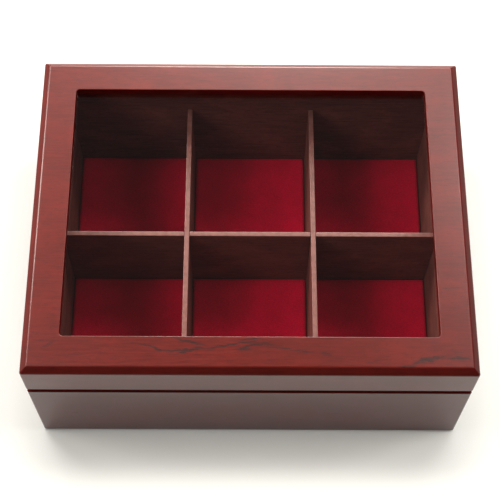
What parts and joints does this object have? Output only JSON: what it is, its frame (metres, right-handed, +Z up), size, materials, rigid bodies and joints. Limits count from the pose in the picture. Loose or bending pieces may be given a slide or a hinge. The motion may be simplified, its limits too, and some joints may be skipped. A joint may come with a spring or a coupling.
{
  "type": "tea bag organizer box",
  "caption": "Rectangular lacquered wooden box with a hinged glass-windowed lid over velvet-floored compartments that hold enveloped tea bags on edge.",
  "frame": {"origin": "centre of the footprint, hinges included, on the surface that the felt feet stand on", "axes": "+X to the right along the front, +Y from the front to the hinges at the back, +Z up; the lid is closed at rest"},
  "size_m": [0.23, 0.188, 0.0944],
  "materials": {
    "cherry_lacquer": "gloss lacquer over cherry veneer",
    "fibreboard": "plain hardboard",
    "card": "uncoated grey card",
    "red_velvet": "short cotton velvet pile",
    "hinge_brass": "polished",
    "felt": "pressed felt",
    "clear_glass": "clear float glass"
  },
  "bodies": {
    "base": {"base_front": "cherry_lacquer", "base_back": "cherry_lacquer", "base_left": "cherry_lacquer", "base_right": "cherry_lacquer", "bottom_panel": "fibreboard", "divider_left": "cherry_lacquer", "divider_right": "cherry_lacquer", "divider_cross": "cherry_lacquer", "floor_card_front_left": "card", "floor_card_front_middle": "card", "floor_card_front_right": "card", "floor_card_back_left": "card", "floor_card_back_middle": "card", "floor_card_back_right": "card", "floor_velvet_front_left": "red_velvet", "floor_velvet_front_middle": "red_velvet", "floor_velvet_front_right": "red_velvet", "floor_velvet_back_left": "red_velvet", "floor_velvet_back_middle": "red_velvet", "floor_velvet_back_right": "red_velvet", "hinge_left_base_leaf": "hinge_brass", "hinge_right_base_leaf": "hinge_brass", "hinge_left_pin": "hinge_brass", "hinge_right_pin": "hinge_brass", "base_hinge_screws": "hinge_brass", "foot_front_left": "felt", "foot_front_right": "felt", "foot_back_left": "felt", "foot_back_right": "felt"},
    "lid": {"lid_top": "cherry_lacquer", "lid_front": "cherry_lacquer", "lid_back": "cherry_lacquer", "lid_left": "cherry_lacquer", "lid_right": "cherry_lacquer", "glass_pane": "clear_glass", "bead_front": "cherry_lacquer", "bead_back": "cherry_lacquer", "bead_left": "cherry_lacquer", "bead_right": "cherry_lacquer", "hinge_left_lid_leaf": "hinge_brass", "hinge_right_lid_leaf": "hinge_brass", "lid_hinge_screws": "hinge_brass"}
  },
  "joints": [
    {"name": "lid_hinge", "type": "hinge", "parent": "base", "child": "lid", "pos_m": [0, 0.0906, 0.0687], "axis": [-1, 0, 0], "range_deg": [0, 95]}
  ]
}
